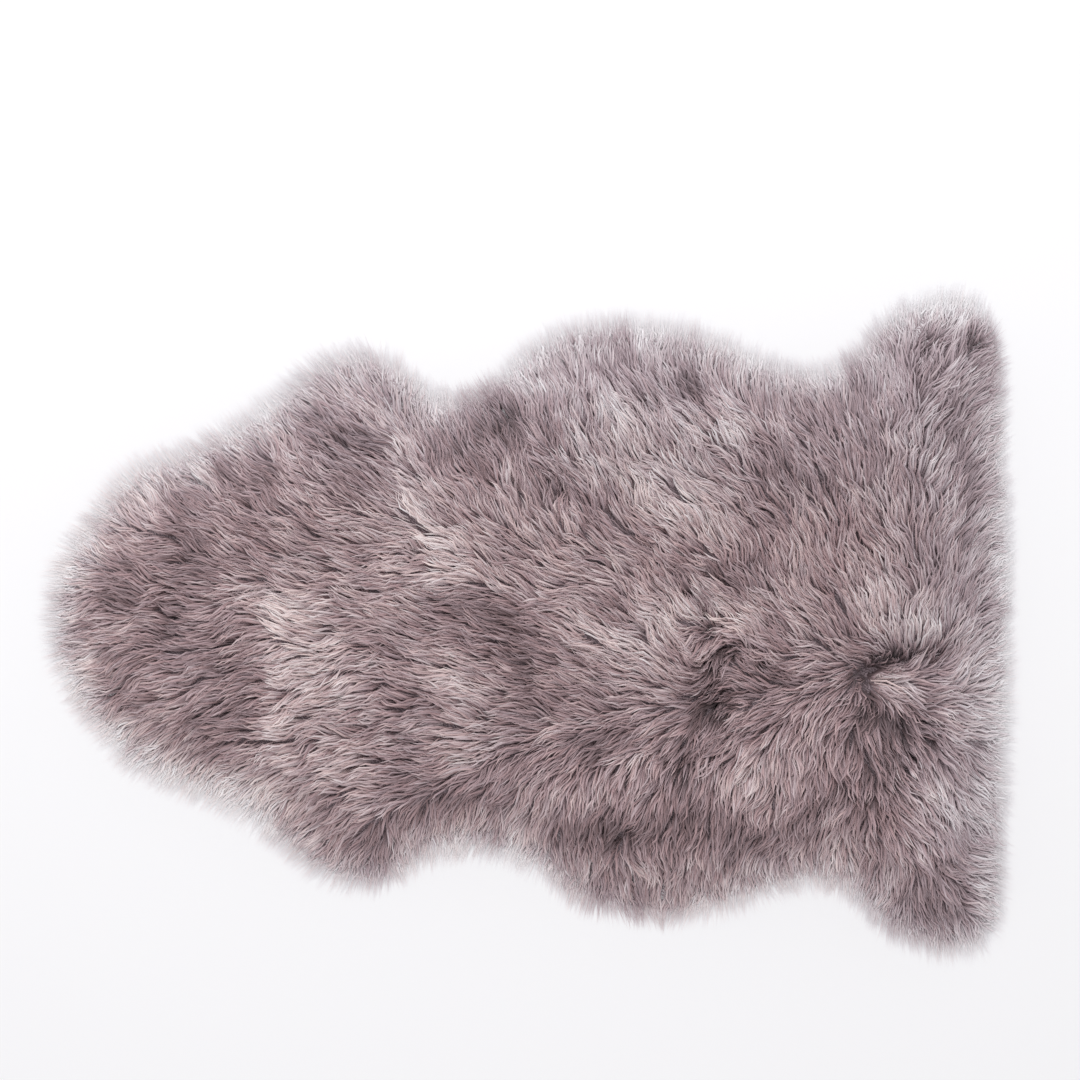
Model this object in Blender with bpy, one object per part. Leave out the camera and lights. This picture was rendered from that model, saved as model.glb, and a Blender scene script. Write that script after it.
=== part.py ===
"""Sheepskin rug: one whole hide lying flat, with its long combed wool up.

The solid is the mass of skin and wool.  It has a flat underside, a low
shoulder all round, a lumpy top, and locks that stand out from the shoulder
and rest level on the floor.  Lengths are in metres.  +X runs from the neck
end to the hind end, +Y from the right flank to the left flank, +Z up.
"""
import math
import random

import bmesh
import bpy
import numpy as np
from mathutils import Vector
from mathutils.geometry import delaunay_2d_cdt

NAME = "sheepskin_rug"
WOOL_COLOR = (0.36, 0.30, 0.32, 1.0)
WOOL_ROUGHNESS = 0.9

# Sections across the hide, from the neck to the hind legs: the distance along
# the spine from the rug's middle, and the wool's reach to each flank there.
SECTIONS = (
    # along, left, right
    (-0.476, 0.058, 0.042),
    (-0.451, 0.092, 0.086),
    (-0.418, 0.139, 0.126),
    (-0.391, 0.160, 0.149),
    (-0.331, 0.182, 0.173),
    (-0.271, 0.216, 0.204),
    (-0.211, 0.264, 0.251),
    (-0.160, 0.273, 0.261),
    (-0.125, 0.258, 0.246),
    (-0.091, 0.226, 0.229),
    (-0.050, 0.236, 0.226),
    (-0.005, 0.276, 0.240),
    (0.035, 0.297, 0.271),
    (0.095, 0.304, 0.290),
    (0.155, 0.296, 0.293),
    (0.215, 0.275, 0.277),
    (0.275, 0.254, 0.258),
    (0.315, 0.266, 0.268),
    (0.359, 0.311, 0.310),
    (0.414, 0.329, 0.329),
    (0.456, 0.318, 0.318),
)
NECK_TIP = (-0.4835, 0.008)
# The hind edge between the legs, from the left leg to the right one.
HIND_EDGE = (
    # along, across
    (0.4745, 0.285),
    (0.4790, 0.190),
    (0.4830, 0.070),
    (0.4835, -0.030),
    (0.4800, -0.160),
    (0.4750, -0.285),
)

# The way the wool lies near the rim and down the back: a place, and the
# heading of the tips there in degrees, anticlockwise from the hind end.
COMB = (
    # along, across, heading
    (-0.450, 0.010, 180.0),
    (-0.390, 0.120, 148.0),
    (-0.390, -0.110, 214.0),
    (-0.230, 0.200, 144.0),
    (-0.200, -0.190, 216.0),
    (-0.120, 0.240, 128.0),
    (-0.150, -0.240, 226.0),
    (-0.030, 0.200, 108.0),
    (-0.050, -0.190, 246.0),
    (0.090, 0.280, 118.0),
    (0.080, -0.270, 284.0),
    (0.250, 0.230, 110.0),
    (0.260, -0.230, 262.0),
    (0.340, 0.270, 88.0),
    (0.350, -0.260, 282.0),
    (0.440, 0.270, 66.0),
    (0.440, -0.260, 314.0),
    (0.460, 0.060, 50.0),
    (0.460, -0.100, 350.0),
    (-0.200, 0.010, 178.0),
    (0.050, -0.060, 172.0),
    (0.100, 0.100, 140.0),
    (0.300, 0.060, 124.0),
    (0.280, -0.150, 250.0),
)

# Partings, where the wool falls to both sides of a line, and the low swells
# that folding has left: where each starts and ends, its width, and its rise.
RELIEF = (
    # from_x, from_y, to_x, to_y, width, rise
    (0.330, -0.035, 0.400, -0.030, 0.016, -0.014),
    (0.385, -0.095, 0.345, -0.050, 0.016, -0.012),
    (0.165, -0.080, 0.330, -0.050, 0.022, -0.006),
    (0.182, 0.010, 0.186, -0.082, 0.014, -0.013),
    (-0.060, -0.130, 0.165, -0.080, 0.026, -0.006),
    (0.130, 0.225, 0.165, 0.235, 0.014, -0.008),
    (0.432, 0.275, 0.446, 0.295, 0.013, -0.010),
    (0.010, 0.140, 0.045, 0.145, 0.014, -0.007),
    (-0.300, 0.080, -0.295, -0.110, 0.030, -0.004),
    (-0.235, 0.120, -0.225, -0.140, 0.035, 0.003),
    (-0.020, 0.060, -0.020, -0.100, 0.020, -0.003),
    (0.340, 0.020, 0.420, 0.030, 0.040, 0.004),
    (0.020, -0.205, 0.260, -0.205, 0.025, -0.003),
)

HALF_LENGTH = 0.50
HALF_WIDTH = 0.36

PILE_RISE = 0.045
SHOULDER_RISE = 0.023
SHOULDER_LEAN = 0.006
SHOULDER_UNEVENNESS = 0.004
CROWN_RUN = 0.080

LOCKS = 212
LOCK_LENGTH = 0.030
LOCK_SHORTEST = 0.72
LOCK_LEAN_LIMIT = 0.45
LOCK_WANDER = 0.0025
# A lock's flat top is narrower than its foot on the floor.
LOCK_TOP_SHARE = 0.72
# Locks lie no more than about 60 degrees from straight out before the limit.
LEAST_OUTWARD = 0.5
# How a lock narrows from its root on the shoulder to its tip.
LOCK_RINGS = (
    # along, width, rise
    (0.40, 0.92, 0.74),
    (0.76, 0.66, 0.44),
    (1.00, 0.18, 0.12),
)

TOP_SPACING = 0.0140
TOP_SCATTER = 0.18
TOP_MARGIN = 0.0085

TUFT_SPACING = 0.036
TUFT_SCATTER = 0.45
TUFT_LENGTH = 0.064
TUFT_WIDTH = 0.038
TUFT_RISE = 0.011
TUFT_SMALLEST = 0.7
TUFT_LARGEST = 1.25
TUFT_LAG = 0.25
# Tufts near the shoulder are this much of their height in the middle.
EDGE_TUFT_SHARE = 0.35

CURVE_STEPS = 16
# Comb marks count for less the further off they are.
COMB_FALL = 3
SEED = 11


def clear_scene():
    for old in list(bpy.data.objects):
        bpy.data.objects.remove(old, do_unlink=True)


def catmull_rom(before, start, end, after, t):
    """Point at t between start and end on a smooth curve through the four points."""
    return 0.5 * (
        2.0 * start
        + (end - before) * t
        + (2.0 * before - 5.0 * start + 4.0 * end - after) * t * t
        + (3.0 * start - before - 3.0 * end + after) * t * t * t
    )


def rim_curve():
    """The wool's outline as a fine closed line, anticlockwise seen from above."""
    left = [Vector((along, reach)) for along, reach, _ in SECTIONS]
    right = [Vector((along, -reach)) for along, _, reach in SECTIONS]
    hind = [Vector(place) for place in HIND_EDGE]
    corners = [Vector(NECK_TIP)] + right + hind[::-1] + left[::-1]
    count = len(corners)
    line = []
    for i in range(count):
        before = corners[i - 1]
        start = corners[i]
        end = corners[(i + 1) % count]
        after = corners[(i + 2) % count]
        for step in range(CURVE_STEPS):
            line.append(catmull_rom(before, start, end, after, step / CURVE_STEPS))
    return line


def spaced_points(line, count):
    """Evenly spaced points on a closed line."""
    ends = line[1:] + line[:1]
    lengths = [(end - start).length for start, end in zip(line, ends)]
    total = sum(lengths)
    points = []
    piece = 0
    passed = 0.0
    for i in range(count):
        wanted = total * i / count
        while passed + lengths[piece] < wanted:
            passed += lengths[piece]
            piece += 1
        share = (wanted - passed) / lengths[piece]
        points.append(line[piece].lerp(ends[piece], share))
    return points


def outward(points, i):
    """The direction away from the rug at point i of its anticlockwise outline."""
    along = points[(i + 1) % len(points)] - points[i - 1]
    return Vector((along.y, -along.x)).normalized()


def comb_direction(place):
    """The way the wool's tips point at a place, from the comb marks around it."""
    total = Vector((0.0, 0.0))
    for along, across, heading in COMB:
        gap = (place - Vector((along, across))).length
        turn = math.radians(heading)
        total += Vector((math.cos(turn), math.sin(turn))) / (gap ** COMB_FALL + 1e-6)
    return total.normalized()


def distances_to_line(points, line):
    """Distance from each point to the nearest piece of a closed line."""
    starts = np.array([tuple(place) for place in line])
    pieces = np.roll(starts, -1, axis=0) - starts
    squares = np.sum(pieces * pieces, axis=1)
    gaps = points[:, None, :] - starts[None, :, :]
    shares = np.clip(np.sum(gaps * pieces, axis=2) / squares, 0.0, 1.0)
    gaps -= shares[:, :, None] * pieces[None, :, :]
    return np.sqrt(np.min(np.sum(gaps * gaps, axis=2), axis=1))


def is_inside(points, line):
    """Whether each point lies inside a closed line."""
    starts = np.array([tuple(place) for place in line])
    ends = np.roll(starts, -1, axis=0)
    x = points[:, 0][:, None]
    y = points[:, 1][:, None]
    spans = (starts[:, 1] > y) != (ends[:, 1] > y)
    rises = np.where(ends[:, 1] == starts[:, 1], 1.0, ends[:, 1] - starts[:, 1])
    crossings = starts[:, 0] + (y - starts[:, 1]) * (ends[:, 0] - starts[:, 0]) / rises
    return np.sum(spans & (x < crossings), axis=1) % 2 == 1


def uneven_net(spacing, scatter, chance):
    """Places over the whole rug on a triangular net, each moved a little by chance."""
    places = []
    row = 0
    y = -HALF_WIDTH
    while y < HALF_WIDTH:
        x = -HALF_LENGTH + (row % 2) * spacing / 2.0
        while x < HALF_LENGTH:
            wander_x = chance.uniform(-scatter, scatter) * spacing
            wander_y = chance.uniform(-scatter, scatter) * spacing
            places.append((x + wander_x, y + wander_y))
            x += spacing
        y += spacing * math.sqrt(3.0) / 2.0
        row += 1
    return np.array(places)


def top_places(shoulder, chance):
    """Places for the top's inner corners, clear of its edge."""
    places = uneven_net(TOP_SPACING, TOP_SCATTER, chance)
    clear = distances_to_line(places, shoulder) > TOP_MARGIN
    return places[clear & is_inside(places, shoulder)]


def tuft_rise(points, chance):
    """Height that the overlapping tufts add at each point."""
    rise = np.zeros(len(points))
    for place in uneven_net(TUFT_SPACING, TUFT_SCATTER, chance):
        centre = Vector(place)
        way = comb_direction(centre)
        size = chance.uniform(TUFT_SMALLEST, TUFT_LARGEST)
        gaps = points - np.array(centre)
        along = (gaps @ np.array(way)) / (TUFT_LENGTH * size / 2.0)
        across = (gaps @ np.array((-way.y, way.x))) / (TUFT_WIDTH * size / 2.0)
        along = along - TUFT_LAG * along * np.abs(along)
        bump = np.clip(1.0 - along * along - across * across, 0.0, 1.0)
        rise = np.maximum(rise, size * TUFT_RISE * np.sqrt(bump))
    return rise


def relief_rise(points):
    """Height that the swells add and the partings take away at each point."""
    total = np.zeros(len(points))
    for from_x, from_y, to_x, to_y, width, rise in RELIEF:
        start = np.array((from_x, from_y))
        run = np.array((to_x, to_y)) - start
        share = np.clip(((points - start) @ run) / (run @ run), 0.0, 1.0)
        gap = np.linalg.norm(points - start - share[:, None] * run, axis=1)
        total += rise * np.exp(-((gap / width) ** 2))
    return total


def crown_share(gaps):
    """How far the wool has risen to its full height, by distance in from the shoulder."""
    share = np.clip(gaps / CROWN_RUN, 0.0, 1.0)
    return share * (2.0 - share)


def add_top(mesh, shoulder_corners, chance):
    """Lumpy top inside the ring of shoulder corners."""
    ring = [Vector(corner.co.xy) for corner in shoulder_corners]
    inner = top_places(ring, chance)
    share = crown_share(distances_to_line(inner, ring))
    heights = SHOULDER_RISE + (PILE_RISE - SHOULDER_RISE) * share
    heights += tuft_rise(inner, chance) * (EDGE_TUFT_SHARE + (1.0 - EDGE_TUFT_SHARE) * share)
    heights += relief_rise(inner)
    corners = list(shoulder_corners)
    for (x, y), z in zip(inner, heights):
        corners.append(mesh.verts.new((x, y, z)))
    places = ring + [Vector(place) for place in inner]
    count = len(ring)
    edges = [(i, (i + 1) % count) for i in range(count)]
    net = delaunay_2d_cdt(places, edges, [], 1, 1e-7)
    for face in net[2]:
        mesh.faces.new([corners[net[3][i][0]] for i in face])


def add_bottom(mesh, floor_corners):
    """Flat underside between the roots of the locks."""
    ring = [Vector(corner.co.xy) for corner in floor_corners]
    count = len(ring)
    edges = [(i, (i + 1) % count) for i in range(count)]
    net = delaunay_2d_cdt(ring, edges, [], 1, 1e-7)
    for face in net[2]:
        mesh.faces.new([floor_corners[net[3][i][0]] for i in reversed(face)])


def add_lock(mesh, root, tip, lean):
    """A four-sided lock from its root on the shoulder, level on the floor."""
    left_floor, right_floor, right_top, left_top = root
    middle = (left_floor.co.xy + right_floor.co.xy) / 2.0
    span = (right_floor.co.xy - left_floor.co.xy) / 2.0
    reach = tip - middle
    rise = (left_top.co.z + right_top.co.z) / 2.0
    side = span.normalized()
    ring = root
    for along, width, height in LOCK_RINGS:
        centre = middle + reach * along + side * lean * along * along
        half = span * width
        floor_left = centre - half
        floor_right = centre + half
        top_half = half * LOCK_TOP_SHARE
        top_left = centre - top_half
        top_right = centre + top_half
        new_ring = (
            mesh.verts.new((floor_left.x, floor_left.y, 0.0)),
            mesh.verts.new((floor_right.x, floor_right.y, 0.0)),
            mesh.verts.new((top_right.x, top_right.y, rise * height)),
            mesh.verts.new((top_left.x, top_left.y, rise * height)),
        )
        for i in range(4):
            j = (i + 1) % 4
            mesh.faces.new((ring[j], ring[i], new_ring[i], new_ring[j]))
        ring = new_ring
    mesh.faces.new(ring)


def inset(line, depth):
    """A closed line moved in from its outline by a depth."""
    return [place - outward(line, i) * depth for i, place in enumerate(line)]


def add_shoulder(mesh, middles, ways, chance):
    """Corners of the low wall behind the locks, on the floor and at its top."""
    floor_corners = []
    top_corners = []
    for middle, way in zip(middles, ways):
        foot = middle - way * LOCK_LENGTH / 2.0
        brow = foot - way * SHOULDER_LEAN
        rise = SHOULDER_RISE + chance.uniform(-SHOULDER_UNEVENNESS, SHOULDER_UNEVENNESS)
        floor_corners.append(mesh.verts.new((foot.x, foot.y, 0.0)))
        top_corners.append(mesh.verts.new((brow.x, brow.y, rise)))
    return floor_corners, top_corners


def lock_lean(tip, way, chance):
    """How far the way the wool lies sweeps a lock to the left of straight out."""
    sideways = Vector((-way.y, way.x))
    comb = comb_direction(tip)
    slant = comb.dot(sideways) / max(comb.dot(way), LEAST_OUTWARD)
    slant = max(-LOCK_LEAN_LIMIT, min(LOCK_LEAN_LIMIT, slant))
    return slant * LOCK_LENGTH + chance.uniform(-LOCK_WANDER, LOCK_WANDER)


def centre_on_origin(mesh):
    """Move the mesh so that its bounding box is centred over the origin."""
    across = [vertex.co.x for vertex in mesh.verts]
    up = [vertex.co.y for vertex in mesh.verts]
    shift = Vector((min(across) + max(across), min(up) + max(up), 0.0)) / -2.0
    bmesh.ops.translate(mesh, verts=mesh.verts[:], vec=shift)


def build_pelt():
    """The one piece: skin and wool as a lumpy slab with locks at its rim."""
    chance = random.Random(SEED)
    middles = spaced_points(inset(rim_curve(), LOCK_LENGTH / 2.0), LOCKS * 2)
    ways = [outward(middles, i) for i in range(LOCKS * 2)]
    mesh = bmesh.new()
    floor_corners, top_corners = add_shoulder(mesh, middles[0::2], ways[0::2], chance)
    for i in range(LOCKS):
        j = (i + 1) % LOCKS
        way = ways[2 * i + 1]
        tip = middles[2 * i + 1] + way * LOCK_LENGTH / 2.0
        root_middle = (floor_corners[i].co.xy + floor_corners[j].co.xy) / 2.0
        reach = chance.uniform(LOCK_SHORTEST, 1.0)
        root = (floor_corners[i], floor_corners[j], top_corners[j], top_corners[i])
        lean = lock_lean(tip, way, chance)
        add_lock(mesh, root, root_middle.lerp(tip, reach), lean)
    add_top(mesh, top_corners, chance)
    add_bottom(mesh, floor_corners)
    centre_on_origin(mesh)
    bmesh.ops.triangulate(mesh, faces=mesh.faces[:])
    bmesh.ops.recalc_face_normals(mesh, faces=mesh.faces[:])
    data = bpy.data.meshes.new("pelt")
    mesh.to_mesh(data)
    mesh.free()
    return data


def wool_material():
    material = bpy.data.materials.new("wool")
    material.use_nodes = True
    shader = material.node_tree.nodes["Principled BSDF"]
    shader.inputs["Base Color"].default_value = WOOL_COLOR
    shader.inputs["Roughness"].default_value = WOOL_ROUGHNESS
    return material


def main():
    clear_scene()
    collection = bpy.data.collections.new(NAME)
    bpy.context.scene.collection.children.link(collection)
    data = build_pelt()
    data.materials.append(wool_material())
    pelt = bpy.data.objects.new("pelt", data)
    collection.objects.link(pelt)


main()
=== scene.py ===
"""Sheepskin rug: a whole hide lying flat on its suede side, with long combed wool.

Lengths are in metres, and the tables below are written in millimetres.  +X runs
from the neck end to the hind end, +Y towards the left flank, +Z up.
"""

import math

import bmesh
import bpy
import numpy as np
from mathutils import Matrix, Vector, noise
from mathutils.bvhtree import BVHTree
from mathutils.geometry import delaunay_2d_cdt


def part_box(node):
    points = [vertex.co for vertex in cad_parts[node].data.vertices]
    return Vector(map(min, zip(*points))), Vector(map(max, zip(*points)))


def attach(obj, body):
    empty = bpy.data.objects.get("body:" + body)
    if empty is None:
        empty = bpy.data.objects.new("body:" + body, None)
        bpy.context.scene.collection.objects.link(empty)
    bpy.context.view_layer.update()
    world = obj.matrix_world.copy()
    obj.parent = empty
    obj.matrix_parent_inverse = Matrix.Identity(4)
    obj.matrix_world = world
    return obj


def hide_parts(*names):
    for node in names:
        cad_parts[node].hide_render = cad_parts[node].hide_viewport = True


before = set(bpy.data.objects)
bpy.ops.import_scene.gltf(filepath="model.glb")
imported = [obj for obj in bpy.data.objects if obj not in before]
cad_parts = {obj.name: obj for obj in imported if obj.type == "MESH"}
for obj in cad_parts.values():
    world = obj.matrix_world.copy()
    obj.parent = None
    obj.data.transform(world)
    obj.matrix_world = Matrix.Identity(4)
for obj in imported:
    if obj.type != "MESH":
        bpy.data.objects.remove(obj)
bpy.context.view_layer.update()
PELT_LOW, PELT_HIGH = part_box("pelt")

bl_info = {
    "name": "Sheepskin rug",
    "version": (1, 0, 0),
    "blender": (4, 5, 0),
    "location": "View3D > Sidebar > Rug",
    "description": "Makes the hide, underwool and combed wool of a sheepskin rug",
    "category": "Object",
}


def in_metres(measures, *rows):
    """A table's rows with their first measures turned from millimetres into metres."""
    return [(*(part / 1000.0 for part in row[:measures]), *row[measures:]) for row in rows]


# Sections across the hide: the distance along the spine, and the wool's reach
# to each flank there.
SECTIONS = in_metres(
    3,
    # along, left, right
    (-476, 58, 42), (-451, 92, 86), (-418, 139, 126), (-391, 160, 149), (-331, 182, 173),
    (-271, 216, 204), (-211, 264, 251), (-160, 273, 261), (-125, 258, 246), (-91, 226, 229),
    (-50, 236, 226), (-5, 276, 240), (35, 297, 271), (95, 304, 290), (155, 296, 293),
    (215, 275, 277), (275, 254, 258), (315, 266, 268), (359, 311, 310), (414, 329, 329),
    (456, 318, 318),
)
NECK_TIP = (-0.4835, 0.008)
HIND_EDGE = in_metres(
    2,
    # along, across
    (474.5, 285), (479, 190), (483, 70), (483.5, -30), (480, -160), (475, -285),
)

# Strokes of the comb: where each starts, passes and ends.
COMB_STROKES = in_metres(
    6,
    # from_x, from_y, by_x, by_y, to_x, to_y
    # neck
    (28, -19, -102, 18, -227, 44), (-232, 29, -352, 57, -447, 99),
    (-255, -15, -372, -30, -466, -70), (-114, -31, -232, -30, -347, -45),
    (-233, -42, -348, -76, -415, -132), (-197, -63, -307, -97, -393, -146),
    (-94, -99, -212, -107, -321, -142), (-332, -173, -335, -176, -338, -179),
    (-135, 56, -249, 71, -346, 132), (-176, 70, -284, 106, -367, 167),
    (-221, 60, -321, 114, -391, 160), (-277, 59, -332, 91, -387, 131),
    (-347, -18, -412, -24, -465, -60), (-295, 27, -382, 36, -469, 33),
    # left foreleg
    (-38, 65, -126, 139, -209, 217), (-91, 88, -191, 153, -274, 215),
    (24, 66, -54, 151, -119, 247), (3, 26, -100, 77, -211, 111),
    (-179, 205, -222, 226, -248, 236), (-105, 153, -142, 206, -187, 250),
    # left flank
    (99, 66, 32, 157, 1, 268), (55, 103, 10, 209, -2, 280), (164, 67, 90, 156, 47, 268),
    (222, 22, 153, 119, 87, 213), (261, -15, 188, 73, 115, 167), (324, 9, 273, 112, 206, 211),
    (288, 65, 217, 162, 153, 258), (358, 1, 312, 107, 247, 208), (285, 195, 268, 240, 263, 255),
    (227, 154, 172, 238, 153, 299), (346, 107, 319, 211, 310, 262), (51, 148, 38, 186, 28, 229),
    (20, 92, -2, 126, -21, 170), (-49, 158, -72, 196, -89, 223),
    # left hind leg
    (385, -12, 375, 103, 373, 213), (397, -15, 416, 99, 472, 200),
    (368, 162, 393, 245, 407, 331), (403, 71, 433, 140, 476, 212),
    (375, 228, 378, 276, 382, 323), (388, 174, 418, 216, 448, 267),
    # hind edge
    (417, -25, 439, 48, 483, 92), (414, -45, 449, -2, 482, 48), (402, -69, 446, -51, 486, -32),
    (393, -88, 432, -95, 480, -99), (390, -98, 430, -137, 480, -183),
    (389, -20, 393, 16, 393, 60),
    # right hind leg
    (384, -107, 427, -169, 471, -231), (359, -115, 413, -193, 472, -267),
    (339, -109, 348, -195, 371, -280), (384, -281, 398, -305, 414, -328),
    (311, -93, 303, -175, 302, -260), (346, -178, 358, -224, 371, -275),
    (407, -138, 438, -184, 470, -230),
    # right flank
    (294, -62, 213, -120, 184, -190), (262, -84, 213, -150, 183, -286),
    (279, -98, 263, -175, 257, -255), (192, -86, 138, -155, 118, -253),
    (139, -102, 73, -155, 55, -259), (69, -112, 13, -155, -16, -229),
    (55, -117, 8, -164, -17, -228), (134, -112, 88, -164, 71, -252),
    (194, -93, 158, -144, 136, -205), (245, -95, 208, -154, 186, -231),
    (279, -93, 268, -154, 247, -226),
    # right foreleg
    (-16, -134, -67, -175, -79, -225), (-87, -146, -157, -175, -226, -214),
    (-150, -149, -212, -165, -261, -213), (-211, -130, -282, -165, -307, -185),
    (-114, -131, -182, -136, -254, -160),
    # spine
    (206, -64, 88, -63, -25, -38), (146, -74, 31, -60, -84, -31), (26, -85, -88, -49, -200, -41),
    (-36, -94, -150, -76, -265, -91), (301, -55, 258, -75, 214, -95),
    (314, -39, 268, -15, 226, 28), (106, -95, 8, -112, -99, -101),
    (164, -75, 108, -96, 61, -109),
    # back
    (159, -28, 78, 54, -6, 130), (126, 9, 35, 80, -25, 176),
    # crown
    (358, -25, 346, -4, 341, 25), (375, -25, 374, -4, 371, 19), (407, -28, 411, -2, 415, 30),
    (423, -44, 438, -29, 454, -12), (333, -56, 363, -56, 395, -51),
    (335, -48, 360, -47, 385, -43), (405, -72, 428, -64, 454, -50),
    (337, -64, 366, -72, 395, -68), (409, -91, 433, -96, 460, -98),
    (355, -80, 373, -104, 396, -139), (397, -109, 418, -134, 443, -171),
    (338, -78, 329, -109, 325, -148), (315, -73, 300, -109, 306, -150),
    (310, -62, 290, -79, 271, -106), (322, -42, 293, -46, 260, -47),
    (327, -35, 306, -24, 285, -3), (333, -166, 330, -189, 334, -218),
    (352, -162, 368, -184, 381, -211),
    # crease on the back
    (268, -54, 238, -50, 211, -32), (196, -10, 184, -20, 176, -37),
    (193, -27, 188, -38, 179, -47), (210, -40, 204, -30, 197, -20),
    (190, -64, 174, -67, 156, -72), (174, -3, 167, -11, 165, -22), (167, -44, 153, -29, 136, -8),
    (166, -61, 148, -54, 126, -38), (177, -82, 163, -96, 141, -112),
    (197, -81, 178, -104, 162, -122), (223, -26, 210, -14, 192, 1),
    (217, -86, 198, -94, 180, -111),
    # turns on the left flank
    (33, 134, 21, 147, 10, 157), (60, 152, 58, 161, 53, 171), (35, 111, 34, 126, 30, 143),
    (223, 141, 213, 156, 203, 171), (130, 200, 123, 214, 116, 227),
    # left hind corner
    (390, 278, 400, 296, 408, 314), (376, 267, 376, 291, 377, 315),
    (451, 278, 453, 296, 450, 313), (387, 212, 403, 226, 416, 241),
    (419, 200, 436, 206, 454, 216), (416, 246, 423, 266, 427, 286),
    # small turns of the wool, from the neck to the hind end
    (-392, 18, -406, 14, -420, 8), (-357, -5, -370, 2, -384, 7),
    (-326, 135, -340, 140, -354, 144), (-289, 104, -298, 116, -307, 128),
    (-284, 12, -298, 8, -312, 2), (-254, -166, -262, -178, -266, -193),
    (-230, -4, -244, 2, -258, 8), (-208, 113, -220, 122, -231, 132),
    (-158, -35, -172, -40, -186, -46), (-130, -201, -136, -214, -141, -228),
    (-99, -36, -112, -28, -125, -21), (-95, -170, -100, -184, -104, -199),
    (-46, -206, -58, -214, -72, -220), (-31, 36, -46, 38, -61, 39),
    (18, -238, 26, -250, 34, -263), (42, -140, 38, -154, 34, -169), (54, 93, 44, 104, 35, 116),
    (58, 27, 44, 32, 30, 36), (63, 61, 50, 68, 37, 75), (82, -52, 68, -46, 54, -41),
    (90, -226, 98, -238, 105, -252), (99, -271, 110, -280, 124, -286),
    (100, -196, 92, -208, 85, -222), (108, -248, 110, -262, 111, -277),
    (143, 26, 134, 38, 125, 50), (156, -248, 152, -262, 147, -277), (180, 2, 170, 14, 158, 22),
    (161, -270, 152, -280, 138, -286), (175, 195, 164, 206, 153, 216),
    (200, 10, 188, 20, 176, 29), (177, 36, 164, 44, 151, 51), (195, 132, 182, 140, 169, 147),
    (196, 245, 194, 260, 192, 274), (211, 59, 206, 74, 200, 87),
    (223, -218, 218, -232, 215, -247), (232, -245, 242, -256, 256, -259),
    (250, -122, 248, -136, 247, -151), (267, -165, 260, -178, 253, -192),
    (276, -232, 284, -244, 295, -254), (276, -116, 278, -130, 279, -145),
    (308, -207, 314, -220, 320, -234), (309, -171, 302, -184, 293, -197),
    (315, -11, 308, 2, 303, 16), (356, -91, 356, -106, 355, -121),
    (357, -29, 344, -34, 329, -37), (365, 143, 362, 158, 360, 172),
    (368, -157, 380, -166, 392, -175), (369, 61, 362, 74, 355, 87),
    (371, -36, 386, -34, 401, -34), (382, -215, 392, -226, 401, -238),
    (412, 161, 416, 176, 421, 190), (448, -215, 456, -230, 464, -245),
    (444, -250, 452, -265, 460, -280), (455, -270, 463, -285, 471, -300),
    (393, 287, 405, 302, 413, 318), (395, 277, 405, 280, 415, 281),
    (430, 232, 441, 250, 449, 268), (445, 205, 454, 222, 463, 240), (41, 138, 25, 147, 9, 153),
    (24, 108, 24, 119, 26, 130), (428, -223, 440, -232, 452, -241),
    (437, 110, 446, 122, 456, 133), (440, -170, 452, -178, 463, -188),
    (467, 167, 470, 182, 471, 197), (471, -187, 470, -202, 470, -217),
)

# Partings: where each starts and ends, its width, how deep the wool sinks in
# it, and how far the wool leans away from it on each side.
PARTINGS = in_metres(
    6,
    # from_x, from_y, to_x, to_y, width, depth, lean degrees
    (332, -70, 329, -48, 4, 14, 0), (329, -48, 344, -38, 4, 14, 0),
    (344, -38, 358, -34, 3.8, 12, 0), (358, -34, 400, -33, 4.2, 13, 0),
    (334, -71, 344, -76, 4, 13, 0), (341, -73, 360, -88, 4, 6, 0),
    (362, -89, 365, -107, 4.5, 11, 0), (383, -93, 390, -105, 5.5, 10, 0),
    (391, -109, 403, -117, 5, 8, 0), (371, -123, 385, -141, 4.5, 8, 0),
    (348, -132, 352, -160, 4.5, 8, 0), (319, -158, 337, -163, 5, 7, 0),
    (181, 3, 183, -6, 4.5, 10, 0), (176, -31, 184, -36, 5, 12, 0),
    (190, -22, 194, -26, 4.5, 10, 0), (200, -18, 205, -34, 4.5, 11, 0),
    (178, -60, 193, -64, 5, 12, 0), (186, -77, 193, -85, 6, 16, 0), (152, 29, 164, 23, 5, 7, 0),
    (232, -42, 240, -49, 6, 6, 0), (149, -123, 154, -135, 7, 7, 0),
    (22, 131, 32, 127, 4.5, 12, 0), (114, 217, 120, 212, 5, 7, 0), (154, 237, 166, 233, 6, 4, 0),
    (389, 282, 393, 272, 4.5, 13, 0), (395, 271, 405, 271, 4, 5, 0),
    (441, 287, 445, 273, 5, 8, 0), (399, 257, 403, 249, 4, 5, 0),
    (-151, -68, -153, -100, 6, 4, 10), (-356, 40, -351, -10, 6, 5, 10),
    (-268, -15, -274, -120, 7, 5, 12),
)

# Creases: where each starts and ends, its width, and the way the wool points on
# its left and on its right, in degrees anticlockwise from +X.
CREASES = in_metres(
    5,
    # from_x, from_y, to_x, to_y, width, left degrees, right degrees
    (332, -65, 330, -47, 5, 185, -10), (330, -47, 338, -38, 5, 165, 5),
    (338, -38, 358, -35, 5, 140, -10), (358, -35, 400, -33, 6, 90, -3),
    (326, -70, 341, -73, 5, 0, 258), (341, -73, 362, -91, 5, 322, 283),
    (363, -91, 365, -107, 4.5, 305, 272),
)

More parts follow.
